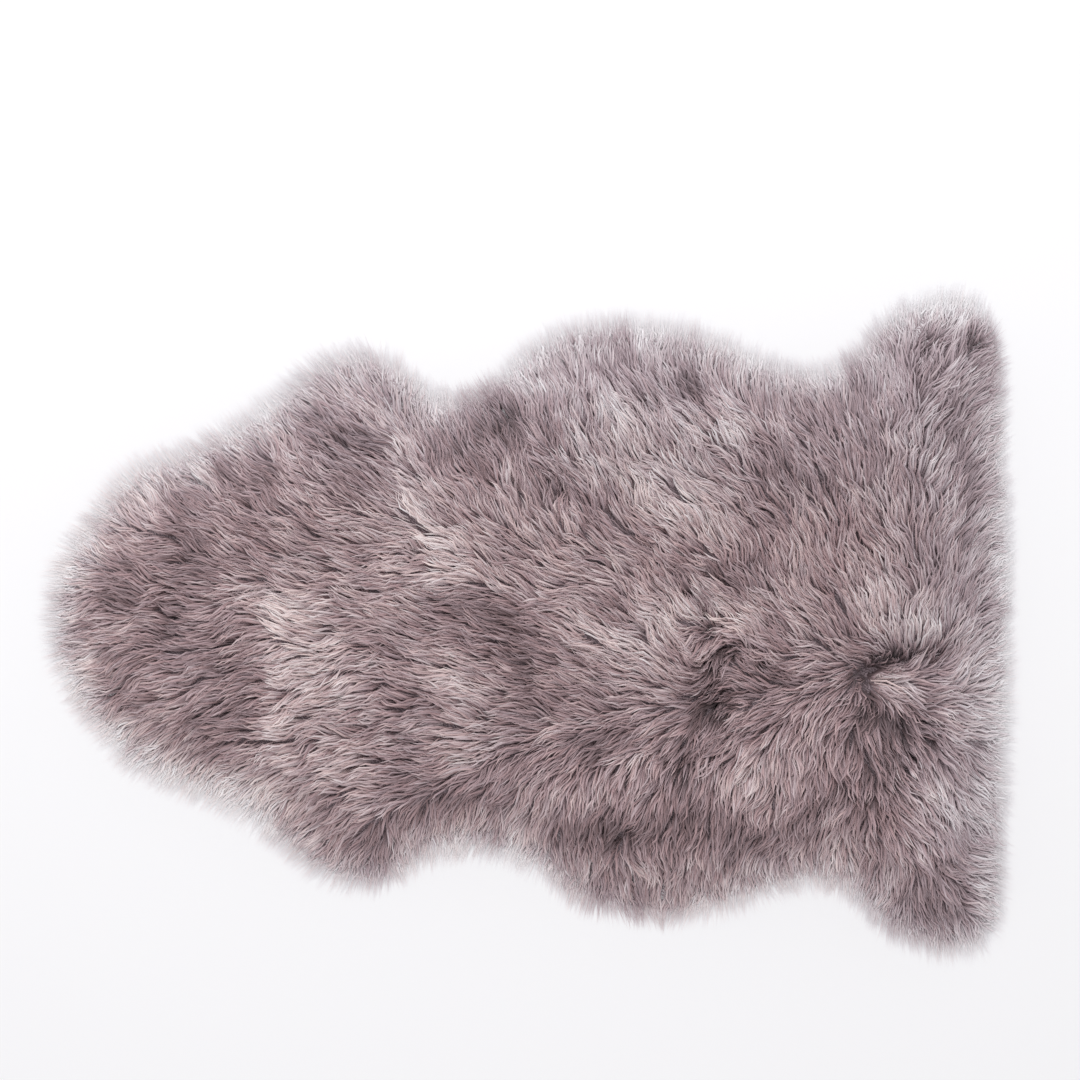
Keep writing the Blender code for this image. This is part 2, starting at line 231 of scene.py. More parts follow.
# Bands of painted light and shade, where the wool looks lighter or darker than the rest: where each
# starts and ends, its half width, and the change of tone.
LIGHT_AND_SHADE_BANDS = in_metres(
    5,
    # from_x, from_y, to_x, to_y, width, tone
    (-409, 80, -413, 25, 20, -0.21), (-411, -35, -409, -75, 16, -0.16),
    (-382, -15, -356, -35, 14, -0.1), (-346, 125, -335, 65, 20, -0.23),
    (-332, -65, -317, -120, 18, -0.21), (-286, 5, -291, -75, 14, -0.17),
    (-270, 155, -276, 65, 16, -0.17), (-317, 160, -306, 145, 12, -0.25),
    (-257, 5, -266, -115, 20, 0.19), (-251, 105, -256, 25, 12, 0.13),
    (-232, 25, -202, -65, 26, 0.2), (-216, 185, -181, 185, 20, -0.22),
    (-130, 185, -127, 135, 18, 0.15), (-106, 125, -91, 55, 30, 0.16),
    (-82, 180, -51, 160, 20, -0.23), (-29, 220, -21, 190, 16, -0.38),
    (-102, -15, -91, -35, 20, 0.1), (-71, -55, -67, -115, 22, 0.15),
    (-162, -75, -172, -135, 20, 0.09), (-91, 15, -32, 13, 18, -0.21),
    (-25, 15, -19, -25, 18, -0.14), (-19, -30, -19, -115, 14, -0.14),
    (34, 235, 43, 215, 14, 0.12), (76, 220, 84, 205, 18, 0.19), (108, 195, 159, 125, 34, 0.16),
    (134, 235, 161, 237, 14, -0.22), (234, 165, 234, 95, 22, -0.12),
    (269, 225, 274, 200, 14, -0.22), (298, 205, 329, 185, 18, -0.09),
    (69, 265, 88, 275, 14, -0.29), (123, 5, 139, 20, 16, 0.26), (167, 15, 191, 17, 14, 0.38),
    (208, 20, 218, 7, 12, 0.09), (69, -15, 118, -65, 26, 0.14), (29, -125, 69, -120, 20, -0.19),
    (159, 25, 165, 35, 8, -0.38), (180, -65, 164, -90, 16, -0.2),
    (150, -130, 152, -140, 9, -0.18), (218, -65, 243, -105, 18, -0.12),
    (229, -40, 238, -50, 12, -0.14), (-132, -170, -82, -175, 18, -0.12),
    (-76, -160, -32, -170, 18, -0.17), (-162, -210, -157, -235, 20, -0.11),
    (29, -210, 79, -195, 18, -0.24), (79, -213, 134, -213, 20, -0.13),
    (148, -195, 189, -205, 20, -0.23), (203, -215, 269, -213, 18, -0.11),
    (203, -160, 234, -145, 22, 0.17), (108, -240, 114, -260, 12, 0.21),
    (88, -265, 99, -270, 12, -0.31), (348, -37, 389, -29, 9, 0.15), (339, 10, 384, 5, 18, 0.29),
    (308, -25, 319, -95, 14, -0.14), (319, -120, 339, -145, 18, -0.17),
    (353, -105, 363, -145, 12, -0.21), (298, -165, 339, -195, 22, -0.12),
    (368, -165, 404, -170, 16, 0.18), (404, -135, 413, -95, 14, 0.09),
    (428, -15, 439, -95, 22, 0.09), (413, 200, 428, 190, 14, -0.21),
    (433, 175, 439, 145, 12, -0.13), (391, 285, 393, 273, 8, -0.12),
    (436, 290, 447, 270, 10, -0.28), (399, -255, 423, -275, 20, -0.18),
    (368, -285, 399, -290, 14, -0.25), (-61, 215, -51, 195, 16, -0.26),
    (123, -73, 148, -103, 14, -0.22), (259, -183, 281, -180, 14, -0.29),
    (300, -220, 317, -225, 12, 0.3), (-382, -137, -262, -175, 18, 0.14),
    (-467, 55, -431, 25, 16, 0.12), (93, 145, 108, 125, 14, 0.16),
    (169, 195, 203, 170, 14, 0.16), (459, 290, 461, 235, 10, -0.28),
    (329, 265, 331, 230, 12, -0.26), (-137, 120, -112, 95, 12, 0.14),
    (-346, 145, -317, 140, 12, 0.22), (183, -25, 191, -57, 8, -0.12),
    (188, -78, 193, -84, 7, -0.2), (340, -52, 372, -56, 8, 0.26), (344, -65, 364, -72, 6, 0.2),
    (394, 280, 416, 275, 12, 0.14), (218, 232, 229, 228, 12, -0.22), (4, 213, 21, 195, 11, -0.2),
    (-213, 162, -179, 155, 12, -0.14), (-303, 167, -291, 163, 11, -0.16),
    (-130, 25, -114, 13, 12, 0.14), (26, 122, 34, 112, 9, 0.16), (48, 168, 58, 160, 8, 0.16),
    (114, -270, 131, -280, 12, -0.18), (326, -70, 337, -81, 8, -0.2),
    (176, 59, 193, 50, 12, -0.18), (213, -250, 223, -260, 12, 0.15),
    (-396, 30, -394, -15, 12, -0.12), (-262, 150, -262, 80, 8, -0.15),
    (-120, 100, -110, 50, 12, 0.12), (-205, 60, -195, 50, 12, 0.1),
    (60, -268, 69, -272, 10, -0.18),
)

# A wisp from root to tip: how far along each ring is, and its girth there.
WISP_RINGS = ((0.00, 0.65), (0.36, 1.00), (0.72, 0.70))
# The same for the fine hairs of the rim.
HAIR_RINGS = ((0.00, 0.80), (0.50, 1.00))
# The corners of a ring: left, right and crest.
RING_CORNERS = ((-1.0, 0.0), (1.0, 0.0), (0.0, 0.50))
TIP_CREST = 0.3
# The share of its rise that a wisp has at its three later places, and how much
# less by the rim.
RISE_SHARES = (0.50, 0.86, 1.0)
RIM_LOSSES = (0.0, 0.45, 0.9)

# Soft swells in the lie, the tone and the height of the wool.
TURN_SWELLS = (
    # amount, size, seed
    (0.24, 0.022, 6),
    (0.40, 0.011, 7),
)
TONE_SWELLS = ((0.06, 0.050, 1), (0.10, 0.016, 2))
WARMTH_SWELLS = ((0.12, 0.060, 8),)
HEIGHT_SWELLS = ((0.0016, 0.016, 3),)

BODY_PIECES = ("neck_wool", "shoulder_wool", "flank_wool", "hind_wool")
MAP_NAME = "OFBake"
SEED = 23
MOST_TRIANGLES = 199000
CURVE_STEPS = 16
STROKE_STEPS = 9
RIM_SPACING = 0.006
HIDE_SPACING = 0.008
NET_SCATTER = 0.18
FLOOR_CLEARANCE = 0.0008
LEAST_HEIGHT = 0.0003
ROOT_DEPTH = 0.002
COMB_BLEND = 0.008
COMB_FALLOFF = 2.2
PARTING_REACH = 1.8
FULL_PARTING = 0.010
EDGE_START = 0.018
EDGE_SPAN = 0.050
BODY_TONE = 0.465
PARTING_SHADE = 0.56
UNDERWOOL_BASE = 0.0022
UNDERWOOL_GAP = 0.0004

FLOOR_REACH = 40.0
LAMP_PLACE = (-0.35, 1.7, 2.1)
LAMP_SIZE = 2.2
CAMERA_OVER = (0.0078, 0.0856)
SENSOR_WIDTH = 36.0
HEIGHT_IN_VIEW = 0.015

# What the rim's wisps have that the body's don't, by the names of the tree's inputs.
RIM_WISPS = {
    "Rise": 0.007,
    "Finer edge": 0.0,
    "Clump pull": 0.08,
    "Lock pull": 0.04,
    "Wander": 0.20,
    "Lock turn": 0.06,
    "Shortest": 0.34,
    "Longest": 1.0,
    "Tone spread": 0.05,
    "Lock tone": 0.0,
    "Root shade": 0.0,
    "Lighter tip": 0.33,
}


# Node trees.


def both_ways(operation):
    """The plain and the reflected form of an operator between parts of a tree."""
    return (
        lambda part, other: part.board.sums(operation, part, other),
        lambda part, other: part.board.sums(operation, other, part),
    )


class Term:
    """A node's output that sums can be written with."""

    __add__, __radd__ = both_ways("ADD")
    __sub__, __rsub__ = both_ways("SUBTRACT")
    __mul__, __rmul__ = both_ways("MULTIPLY")
    __truediv__, __rtruediv__ = both_ways("DIVIDE")

    def __init__(self, board, socket):
        self.board = board
        self.socket = socket


def is_vector(part):
    return part.socket.type == "VECTOR" if isinstance(part, Term) else isinstance(part, tuple)


def named_socket(sockets, name):
    """The socket in use that has a name or a place in the list."""
    if isinstance(name, int):
        return sockets[name]
    found = [socket for socket in sockets if socket.name == name and socket.enabled]
    if not found:
        raise ValueError(f"no socket is named {name}")
    return found[0]


class Board:
    """One node tree that nodes are added to."""

    def __init__(self, tree):
        self.tree = tree

    def node(self, kind, settings=None, values=None):
        """A new node with its settings made and then its sockets filled."""
        node = self.tree.nodes.new(kind)
        for name, setting in (settings or {}).items():
            if name == "stops":
                set_stops(node.color_ramp, setting)
            else:
                setattr(node, name, setting)
        for name, value in (values or {}).items():
            socket = named_socket(node.inputs, name)
            if isinstance(value, Term):
                self.tree.links.new(value.socket, socket)
            else:
                socket.default_value = value
        return node

    def get(self, kind, settings=None, values=None, output=0):
        """One output of a new node."""
        node = self.node(kind, settings, values)
        return Term(self, named_socket(node.outputs, output))

    def maths(self, operation, *parts):
        return self.get("ShaderNodeMath", {"operation": operation}, dict(enumerate(parts)))

    def vector_maths(self, operation, *parts):
        return self.get("ShaderNodeVectorMath", {"operation": operation}, dict(enumerate(parts)))

    def sums(self, operation, first, second):
        """A Math node for two numbers, or a Vector Math node where one is a vector."""
        vectors = is_vector(first) + is_vector(second)
        if vectors == 0:
            return self.maths(operation, first, second)
        if vectors == 1 and operation == "MULTIPLY":
            vector, scale = (first, second) if is_vector(first) else (second, first)
            values = {0: vector, "Scale": scale}
            return self.get("ShaderNodeVectorMath", {"operation": "SCALE"}, values)
        return self.vector_maths(operation, first, second)

    def clamp(self, value, low, high):
        return self.maths("MINIMUM", self.maths("MAXIMUM", value, low), high)

    def smooth(self, value, low, high):
        """0 below low, 1 above high, and a soft rise between them."""
        settings = {"interpolation_type": "SMOOTHSTEP"}
        values = {"Value": value, "From Min": low, "From Max": high}
        return self.get("ShaderNodeMapRange", settings, values)

    def unit(self, vector):
        return self.vector_maths("NORMALIZE", vector)

    def cross(self, first, second):
        return self.unit(self.vector_maths("CROSS_PRODUCT", first, second))

    def split(self, vector):
        node = self.node("ShaderNodeSeparateXYZ", None, {0: vector})
        return [Term(self, node.outputs[i]) for i in range(3)]

    def join(self, x, y, z):
        return self.get("ShaderNodeCombineXYZ", None, {0: x, 1: y, 2: z})

    def noise(self, place, scale, detail=2.0, roughness=0.5):
        values = {"Vector": place, "Scale": scale, "Detail": detail, "Roughness": roughness}
        return self.get("ShaderNodeTexNoise", {"noise_dimensions": "3D"}, values)

    def ramp(self, light, *stops):
        """The color at a lightness, by (lightness, color) stops."""
        return self.get("ShaderNodeValToRGB", {"stops": stops}, {"Fac": light})

    def object_place(self):
        return self.get("ShaderNodeTexCoord", None, None, "Object")


def set_stops(ramp, stops):
    while len(ramp.elements) > 1:
        ramp.elements.remove(ramp.elements[-1])
    ramp.elements[0].position = stops[0][0]
    ramp.elements[0].color = opaque(stops[0][1])
    for place, color in stops[1:]:
        ramp.elements.new(place).color = opaque(color)


def opaque(color):
    return (*tuple(color)[:3], 1.0)


# The rug's outline and the lie of its wool.


def share(values, start, span):
    """How far values have come over a span from its start, from 0 to 1."""
    return np.clip((values - start) / span, 0.0, 1.0)


def eased(shares):
    return shares * shares * (3.0 - 2.0 * shares)


def unit_rows(ways):
    return ways / np.linalg.norm(ways, axis=1)[:, None]


def catmull_rom(before, start, end, after, t):
    """Point at t between start and end on a smooth curve through the four points."""
    return 0.5 * (
        2.0 * start
        + (end - before) * t
        + (2.0 * before - 5.0 * start + 4.0 * end - after) * t * t
        + (3.0 * start - before - 3.0 * end + after) * t * t * t
    )


def rim_curve():
    """The wool's outline as a fine closed line, anticlockwise seen from above."""
    left = [(along, reach) for along, reach, _ in SECTIONS]
    right = [(along, -reach) for along, _, reach in SECTIONS]
    corners = np.array([NECK_TIP, *right, *HIND_EDGE[::-1], *left[::-1]])
    line = []
    for i in range(len(corners)):
        four = [corners[(i + k) % len(corners)] for k in (-1, 0, 1, 2)]
        line += [catmull_rom(*four, step / CURVE_STEPS) for step in range(CURVE_STEPS)]
    return np.array(line)


def even_points(line, spacing):
    """Points on a closed line, about a spacing apart."""
    closed = np.vstack((line, line[:1]))
    lengths = np.linalg.norm(np.diff(closed, axis=0), axis=1)
    passed = np.concatenate(([0.0], np.cumsum(lengths)))
    count = int(round(passed[-1] / spacing))
    wanted = np.linspace(0.0, passed[-1], count, endpoint=False)
    return np.column_stack([np.interp(wanted, passed, closed[:, k]) for k in (0, 1)])


def inset(line, depth):
    """A closed line moved in from its outline, with what would fold over left out."""
    along = np.roll(line, -1, axis=0) - np.roll(line, 1, axis=0)
    outward = unit_rows(np.column_stack((along[:, 1], -along[:, 0])))
    moved = line - outward * depth
    gaps, _ = nearest_on_line(moved, line)
    return moved[gaps > depth * 0.985]


def nearest_on_line(points, line):
    """Distance to the nearest point of a closed line, and that point."""
    best_gap = np.full(len(points), np.inf)
    best_place = np.zeros((len(points), 2))
    for start, piece in zip(line, np.roll(line, -1, axis=0) - line):
        along = np.clip(((points - start) @ piece) / np.sum(piece * piece), 0.0, 1.0)
        places = start + along[:, None] * piece
        gaps = np.linalg.norm(points - places, axis=1)
        nearer = gaps < best_gap
        best_gap[nearer] = gaps[nearer]
        best_place[nearer] = places[nearer]
    return best_gap, best_place


def is_inside(points, line):
    """Whether each point lies inside a closed line."""
    inside = np.zeros(len(points), bool)
    for start, end in zip(line, np.roll(line, -1, axis=0)):
        spans = (start[1] > points[:, 1]) != (end[1] > points[:, 1])
        rise = end[1] - start[1] or 1.0
        crossing = start[0] + (points[:, 1] - start[1]) * (end[0] - start[0]) / rise
        inside ^= spans & (points[:, 0] < crossing)
    return inside


def turned(ways, angles):
    """Directions turned anticlockwise by angles in radians."""
    (x, y), cosines, sines = ways.T, np.cos(angles), np.sin(angles)
    return np.column_stack((x * cosines - y * sines, x * sines + y * cosines))


def stroke_marks():
    """Places along the comb's strokes, and the direction of the stroke there."""
    places, ways = [], []
    for stroke in np.array(COMB_STROKES):
        start, middle, end = stroke[0:2], stroke[2:4], stroke[4:6]
        control = 2.0 * middle - (start + end) / 2.0
        for t in np.linspace(0.0, 1.0, STROKE_STEPS):
            places.append((1 - t) ** 2 * start + 2 * t * (1 - t) * control + t * t * end)
            way = 2 * (1 - t) * (control - start) + 2 * t * (end - control)
            ways.append(way / np.linalg.norm(way))
    return places, ways


def combed_ways(points, calm):
    """The way the wool's tips point at each place, with less disorder where it is calm."""
    total = np.zeros((len(points), 2))
    for place, way in zip(*stroke_marks()):
        square = np.sum((points - place) ** 2, axis=1) + COMB_BLEND**2
        total += way / square[:, None] ** COMB_FALLOFF
    ways = unit_rows(total)
    turn = swells(points, TURN_SWELLS) * (1.0 - 0.7 * calm)
    for *line, width, _, lean in PARTINGS:
        near, side = beside_parting(points, line, width * PARTING_REACH)
        turn += math.radians(lean) * near * side
    for *line, width, left, right in CREASES:
        near, side = beside_parting(points, line, width * PARTING_REACH)
        angles = np.radians(np.where(side > 0.0, left, right))
        aside = np.column_stack((np.cos(angles), np.sin(angles)))
        ways = ways * (1.0 - near)[:, None] + aside * near[:, None]
    return turned(unit_rows(ways), turn)


def away_from_line(points, line):
    """The way from a short line to each place, and the line's own run."""
    start, run = np.array(line[:2]), np.subtract(line[2:], line[:2])
    along = np.clip(((points - start) @ run) / (run @ run), 0.0, 1.0)
    return points - start - along[:, None] * run, run


def beside_parting(points, line, width):
    """How near each place is to a parting, 1 on it, and which side it is on."""
    away, run = away_from_line(points, line)
    near = np.exp(-((np.linalg.norm(away, axis=1) / width) ** 2))
    across = away @ np.array((-run[1], run[0])) / (np.linalg.norm(run) * width)
    return near, np.tanh(2.0 * across)


def soft_noise(points, size, seed):
    """Even random swells between about -1 and 1, of a given size."""
    lift = Vector((seed * 3.7, seed * 1.9, seed * 5.3))
    return np.array([noise.noise(Vector((x, y, 0.0)) / size + lift) for x, y in points]) * 1.6


def swells(points, rows):
    return sum(amount * soft_noise(points, size, seed) for amount, size, seed in rows)


def tones(points, gaps):
    """How light the wool is at each place, from 0 to 1: palest at the rim, with painted light and
    shade in bands and partings.
    """
    x, y = points.T
    pale = 0.42 + 0.10 * np.maximum(share(-x, 0.22, 0.10), share(x, 0.42, 0.04))
    pale -= 0.08 * share(-y, 0.10, 0.10) * share(x, -0.30, 0.10)
    tone = BODY_TONE + pale * np.exp(-gaps / 0.016)
    inner = share(gaps, 0.004, 0.016)
    # Bands of painted light and shade.
    for *line, width, change in LIGHT_AND_SHADE_BANDS:
        away, _ = away_from_line(points, line)
        spread = np.linalg.norm(away, axis=1) / width
        tone += change * np.exp(-(spread**3)) * inner
    for *line, width, depth, _ in PARTINGS:
        near, _ = beside_parting(points, line, width)
        tone -= PARTING_SHADE * near * min(depth / FULL_PARTING, 1.3) * inner
    return tone + swells(points, TONE_SWELLS)


def warmths(points, gaps):
    """How warm the wool's cast is, from 0 to 1: cooler by the rim, left flank and hind end."""
    x, y = points.T
    warm = share(gaps, 0.0, 0.06) * share(-y, -0.28, 0.20) * share(-x, -0.48, 0.16)
    return np.clip(warm + swells(points, WARMTH_SWELLS), 0.0, 1.0)


def sinking(points):
    """How far the wool sinks in the partings."""
    depth = np.zeros(len(points))
    for *line, width, fall, _ in PARTINGS:
        near, _ = beside_parting(points, line, width)
        depth = np.maximum(depth, fall * near)
    return depth


def solid_heights(points):
    """Height of the solid pelt's top at each place."""
    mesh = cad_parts["pelt"].data
    corners = [vertex.co.copy() for vertex in mesh.vertices]
    tree = BVHTree.FromPolygons(corners, [tuple(face.vertices) for face in mesh.polygons])
    down = Vector((0.0, 0.0, -1.0))
    hits = [tree.ray_cast(Vector((x, y, 1.0)), down)[0] for x, y in points]
    return np.array([hit.z if hit else 0.0 for hit in hits])


def net_points(spacing):
    """Places on a triangular net over the whole rug, each moved a little."""
    places = []
    rows = np.arange(PELT_LOW.y, PELT_HIGH.y, spacing * math.sqrt(0.75))
    for row, y in enumerate(rows):
        for x in np.arange(PELT_LOW.x, PELT_HIGH.x, spacing):
            places.append((x + (row % 2) * spacing / 2.0, y))
    chance = np.random.default_rng(SEED)
    scatter = chance.uniform(-NET_SCATTER, NET_SCATTER, (len(places), 2))
    return np.array(places) + scatter * spacing


def filled_outline(ring, spacing):
    """Points and triangles that fill a closed line with an even net."""
    places = net_points(spacing)
    places = places[is_inside(places, ring)]
    gaps, _ = nearest_on_line(places, ring)
    places = np.vstack((ring, places[gaps > spacing * 0.6]))
    edges = [(i, (i + 1) % len(ring)) for i in range(len(ring))]
    net = delaunay_2d_cdt([Vector(place) for place in places], edges, [], 1, 1e-7)
    faces = [tuple(net[3][i][0] for i in face) for face in net[2]]
    return places, faces


def new_piece(name, data):
    piece = bpy.data.objects.new(name, data)
    bpy.context.scene.collection.objects.link(piece)
    return piece


def closed_slab(name, points, faces, tops, lows):
    """A closed piece with a top and an underside over the same net."""
    mesh = bmesh.new()
    upper = [mesh.verts.new((x, y, z)) for (x, y), z in zip(points, tops)]
    lower = [mesh.verts.new((x, y, z)) for (x, y), z in zip(points, lows)]
    for face in faces:
        mesh.faces.new([upper[i] for i in face])
        mesh.faces.new([lower[i] for i in reversed(face)])
    partner = dict(zip(upper, lower))
    for edge in [edge for edge in mesh.edges if len(edge.link_faces) == 1]:
        if edge.verts[0] in partner:
            first, second = edge.link_loops[0].vert, edge.link_loops[0].link_loop_next.vert
            mesh.faces.new((second, first, partner[first], partner[second]))
    bmesh.ops.recalc_face_normals(mesh, faces=mesh.faces[:])
    for face in mesh.faces:
        face.smooth = True
    data = bpy.data.meshes.new(name)
    mesh.to_mesh(data)
    mesh.free()
    return new_piece(name, data)


# Finishes.


def finished_material(name, board_of):
    """A material whose sockets and bump are what a function says for its board."""
    material = bpy.data.materials.new(name)
    material.use_nodes = True
    material.node_tree.nodes.clear()
    board = Board(material.node_tree)
    values, bump = board_of(board)
    if bump:
        given = dict(zip(("Height", "Strength", "Distance"), bump))
        values["Normal"] = board.get("ShaderNodeBump", None, given)
    shader = board.get("ShaderNodeBsdfPrincipled", None, values)
    board.node("ShaderNodeOutputMaterial", None, {"Surface": shader})
    return material


def combed_wool_material(colors):
    """Wisps of wool: the map's u runs across the hairs, from cool to warm, v from dark to light."""

    def sockets(board):
        u, v, _ = board.split(board.get("ShaderNodeUVMap", {"uv_map": MAP_NAME}))
        hairs = board.noise(board.join(u * 520.0, v * 2.0, 0.0), 1.0, 1.0)
        strands = board.noise(board.join(u * 130.0, v * 1.5, 3.0), 1.0, 1.0)
        casts = board.noise(board.join(u * 90.0, v * 0.5, 7.0), 1.0, 1.0)
        color = board.ramp(
            v + (hairs - 0.5) * 0.06 + (strands - 0.5) * 0.11,
            (0.00, colors.deep),
            (0.20, colors.dark),
            (0.45, colors.middle),
            (0.65, colors.light),
            (0.82, colors.tip),
            (1.00, colors.rim),
        )
        warmth = board.clamp(u * 1.6 - 0.47 + (casts - 0.5) * 0.5, 0.0, 1.0)
        blend = {"data_type": "RGBA", "blend_type": "MULTIPLY"}
        values = {0: warmth, 6: color, 7: opaque(colors.tint)}
        return {
            "Base Color": board.get("ShaderNodeMix", blend, values, 2),
            "Roughness": 0.60 - v * 0.10,
            "Specular IOR Level": 0.35,
            "Sheen Weight": 0.22,
            "Sheen Roughness": 0.45,
            "Sheen Tint": (0.95, 0.92, 0.94, 1.0),
        }, (hairs, 0.3, 0.0004)

    return finished_material("combed wool", sockets)


def underwool_material(colors):
    """Dense crimped wool in the gaps between the wisps, darker than them as painted shade deep in
    the pile.
    """

    def sockets(board):
        place = board.object_place()
        bands = {"wave_type": "BANDS", "bands_direction": "DIAGONAL"}
        values = {"Vector": place, "Scale": 160.0, "Distortion": 9.0}
        values.update({"Detail": 3.0, "Detail Scale": 1.6})
        crimp = board.get("ShaderNodeTexWave", bands, values, "Fac")
        fibres = board.noise(place, 900.0, 4.0, 0.65)
        light = crimp * 0.30 + fibres * 0.40 + board.noise(place, 45.0) * 0.30
        # Painted light: paler where the underwool is low at its edge, hiding the shade there under
        # the rim's pale wisps.
        painted_edge_light = 1.0 - board.smooth(board.split(place)[2], 0.003, 0.022)
        color = board.ramp(
            light + painted_edge_light * 0.34,
            (0.20, colors.deep),
            (0.50, colors.dark),
            (0.75, colors.middle),
            (1.00, colors.tip),
        )
        return {
            "Base Color": color,
            "Roughness": 0.86 - fibres * 0.12,
            "Specular IOR Level": 0.2,
        }, (light, 0.9, 0.0012)

    return finished_material("underwool", sockets)


def suede_material(colors):
    """The hide's napped flesh side, with pores and faint creases."""

    def sockets(board):
        place = board.object_place()
        nap = board.noise(place, 700.0, 5.0, 0.7)
        clouds = board.noise(place, 14.0, 4.0, 0.6)
        creases = board.get(
            "ShaderNodeTexVoronoi",
            {"feature": "DISTANCE_TO_EDGE"},
            {"Vector": place + (clouds - 0.5) * (0.05, 0.05, 0.05), "Scale": 26.0},
            "Distance",
        )
        # Darker along the faint creases, which also sink in the bump.
        off_creases = board.smooth(creases, 0.0, 0.06)
        light = clouds * 0.6 + nap * 0.3 + off_creases * 0.12
        return {
            "Base Color": board.ramp(light, (0.30, colors.hide_dark), (0.70, colors.hide)),
            "Roughness": 0.80 + nap * 0.12,
            "Specular IOR Level": 0.25,
            "Sheen Weight": 0.3,
        }, (nap * 0.6 + off_creases * 0.4, 0.6, 0.0006)

    return finished_material("suede", sockets)


def floor_material(color):
    values = {"Base Color": opaque(color), "Roughness": 0.9}
    return finished_material("floor", lambda board: (values, None))


# Wisps that grow along the comb's strokes.


def wisp_shape(rings):
    """A closed three-sided wisp; the tree puts its corners in place by their attributes."""
    marks = [
        (along, across, crest, girth) for along, girth in rings for across, crest in RING_CORNERS
    ]
    marks.append((1.0, 0.0, TIP_CREST, 0.0))
    corners = [(across * 0.001, along * 0.02, crest * 0.001) for along, across, crest, _ in marks]
    tip, last = len(marks) - 1, len(marks) - 4
    sides = ((0, 1), (1, 2), (2, 0))
    faces = [(0, 1, 2)]
    faces += [(k + i, k + 3 + i, k + 3 + j, k + j) for k in range(0, last, 3) for i, j in sides]
    faces += [(last + i, tip, last + j) for i, j in sides]
    mesh = bpy.data.meshes.new("wisp_shape")
    mesh.from_pydata(corners, [], faces)
    for k, name in enumerate(("along", "across", "crest", "girth")):
        set_layer(mesh, name, "FLOAT", [mark[k] for mark in marks])
    return new_piece("wisp_shape", mesh)


def attribute(board, name, kind="FLOAT"):
    return board.get("GeometryNodeInputNamedAttribute", {"data_type": kind}, {"Name": name})


def chance_between(board, low, high, seed, offset):
    values = {"Min": low, "Max": high, "Seed": seed + float(offset)}
    return board.get("FunctionNodeRandomValue", {"data_type": "FLOAT"}, values, "Value")


def ground_value(board, ground, name, place, kind="FLOAT"):
    """What the ground's attribute is at the point of it nearest to a place."""
    values = {"Mesh": ground, "Value": attribute(board, name, kind), "Sample Position": place}
    return board.get("GeometryNodeSampleNearestSurface", {"data_type": kind}, values, "Value")


def next_place(board, ground, place, step, turn):
    """One step further along the way the wool is combed."""
    comb = board.unit(ground_value(board, ground, "comb", place, "FLOAT_VECTOR"))
    values = {"Vector": comb, "Angle": turn}
    way = board.get("ShaderNodeVectorRotate", {"rotation_type": "Z_AXIS"}, values)
    return place + way * step


def settled(board, ground, place, rise):
    """The place at a rise above the underwool, or above the floor beside it."""
    x, y, _ = board.split(place)
    values = {
        "Target Geometry": ground,
        "Source Position": board.join(x, y, 0.5),
        "Ray Direction": (0.0, 0.0, -1.0),
        "Ray Length": 1.0,
    }
    ray = board.node("GeometryNodeRaycast", None, values)
    hit = board.split(Term(board, named_socket(ray.outputs, "Hit Position")))[2]
    height = hit * Term(board, named_socket(ray.outputs, "Is Hit"))
    return board.join(x, y, board.maths("MAXIMUM", height + rise, FLOOR_CLEARANCE))


def gathering(board, start, size):
    """Middle of the gathering of wisps that a place is in, and its three chances."""
    settings = {"voronoi_dimensions": "2D", "feature": "F1"}
    values = {"Vector": start, "Scale": 1.0 / size, "Randomness": 1.0}
    cells = board.node("ShaderNodeTexVoronoi", settings, values)
    x, y, _ = board.split(Term(board, cells.outputs["Position"]))
    middle = board.join(x, y, board.split(start)[2])
    return middle, board.split(Term(board, cells.outputs["Color"]))


TREE_INPUTS = (
    # name, kind, default
    ("Wisp", "Object", None),
    ("Finish", "Material", None),
    ("Seed", "Int", 1),
    ("Wisps per square metre", "Float", 80000.0),
    ("Length", "Float", 0.038),
    ("Width", "Float", 0.0022),
    ("Finer edge", "Float", 0.25),
    ("Rise", "Float", 0.013),
    ("Clump size", "Float", 0.008),
    ("Clump pull", "Float", 0.55),
    ("Lock size", "Float", 0.022),
    ("Lock pull", "Float", 0.25),
    ("Wave", "Float", 0.0012),
    ("Wander", "Float", 0.16),
    ("Lock turn", "Float", 0.30),
    ("Shortest", "Float", 0.72),
    ("Longest", "Float", 1.12),
    ("Tone spread", "Float", 0.095),
    ("Lock tone", "Float", 0.13),
    # Painted shade at the wisps' roots, between the tufts.
    ("Root shade", "Float", 0.12),
    ("Lighter tip", "Float", 0.05),
)


def new_tree():
    """An empty tree with its named inputs, its board, and the node that gives the inputs."""
    tree = bpy.data.node_groups.new("Combed wisps", "GeometryNodeTree")
    for name, kind, default in (("Underwool", "Geometry", None), *TREE_INPUTS):
        kind = "NodeSocket" + kind
        socket = tree.interface.new_socket(name=name, in_out="INPUT", socket_type=kind)
        if default is not None:
            socket.default_value = default
    tree.interface.new_socket(name="Wisps", in_out="OUTPUT", socket_type="NodeSocketGeometry")
    board = Board(tree)
    return tree, board, board.node("NodeGroupInput")


